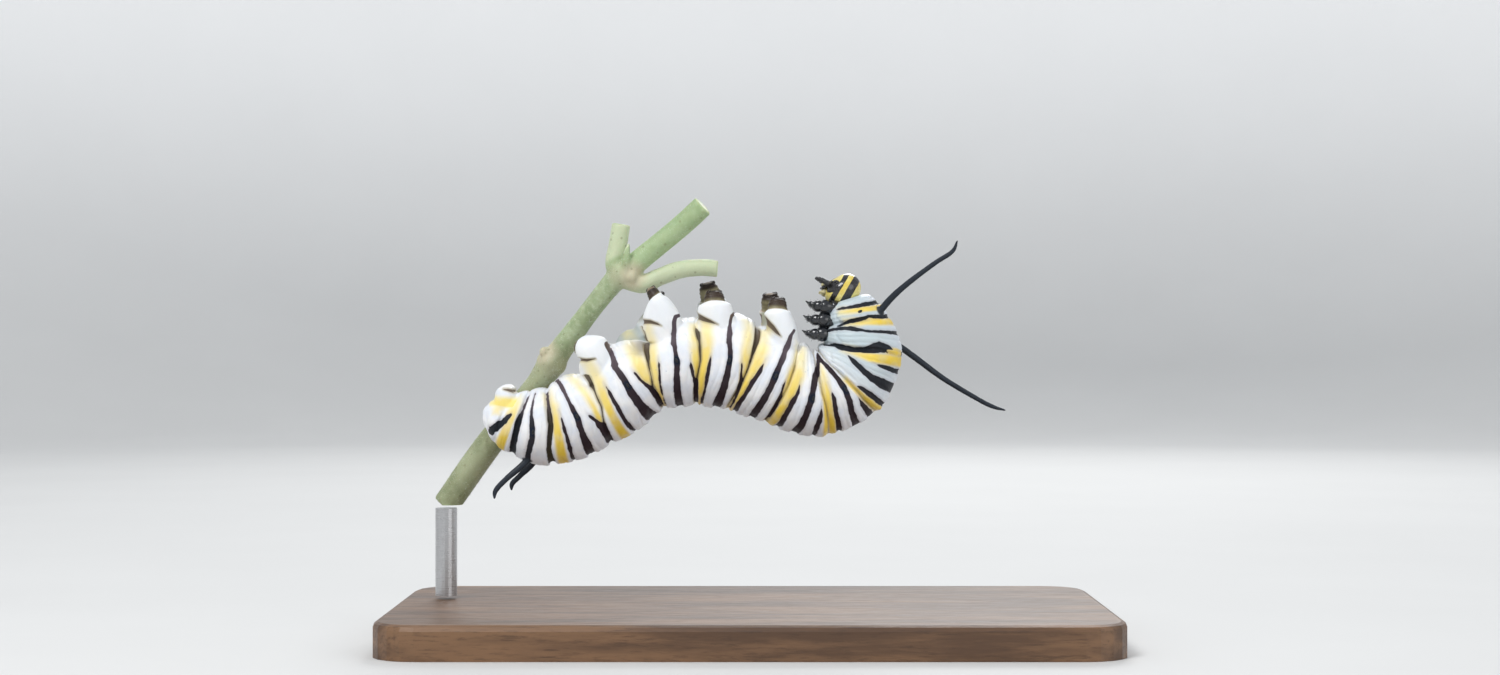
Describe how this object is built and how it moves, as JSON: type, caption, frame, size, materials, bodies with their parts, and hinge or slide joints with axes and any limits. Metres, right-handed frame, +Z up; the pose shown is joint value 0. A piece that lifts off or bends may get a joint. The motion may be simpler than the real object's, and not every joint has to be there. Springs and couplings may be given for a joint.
{
  "type": "monarch larva model",
  "caption": "Life-size still model of a banded monarch larva hanging belly up from a short cut stem, its front end curled up, on a flat display base with a rod.",
  "frame": {"origin": "the middle of the base's underside", "axes": "+Z up; +X from the larva's tail towards the front of its body, along the base's long side; the larva's left side faces -Y"},
  "size_m": [0.064, 0.034, 0.0395],
  "materials": {
    "banded_skin": "satin larval skin, white and yellow with narrow black cross bands",
    "proleg_skin": "satin larval skin, white with an olive-brown foot",
    "black_filament": "matt blue-black fleshy filament",
    "black_leg": "glossy black horny leg",
    "head": "glossy horny capsule, yellow with black arches",
    "antenna": "glossy black short feeler",
    "stem": "green herbaceous stem with short pale hairs",
    "stand_base": "plain satin walnut display base",
    "stand_rod": "fine brushed display rod"
  },
  "bodies": {
    "root": {"abdomen_1": "banded_skin", "abdomen_10": "banded_skin", "abdomen_2": "banded_skin", "abdomen_3": "banded_skin", "abdomen_4": "banded_skin", "abdomen_5": "banded_skin", "abdomen_6": "banded_skin", "abdomen_7": "banded_skin", "abdomen_8": "banded_skin", "abdomen_9": "banded_skin", "antenna_left": "antenna", "antenna_right": "antenna", "filament_front_left": "black_filament", "filament_front_right": "black_filament", "filament_rear_left": "black_filament", "filament_rear_right": "black_filament", "head": "head", "leg_1_left": "black_leg", "leg_1_right": "black_leg", "leg_2_left": "black_leg", "leg_2_right": "black_leg", "leg_3_left": "black_leg", "leg_3_right": "black_leg", "perch_petiole": "stem", "perch_petiole_upper": "stem", "perch_stem": "stem", "proleg_3_left": "proleg_skin", "proleg_3_right": "proleg_skin", "proleg_4_left": "proleg_skin", "proleg_4_right": "proleg_skin", "proleg_5_left": "proleg_skin", "proleg_5_right": "proleg_skin", "proleg_6_left": "proleg_skin", "proleg_6_right": "proleg_skin", "proleg_anal_left": "proleg_skin", "proleg_anal_right": "proleg_skin", "stand_base": "stand_base", "stand_rod": "stand_rod", "thorax_1": "banded_skin", "thorax_2": "banded_skin", "thorax_3": "banded_skin"}
  },
  "joints": []
}
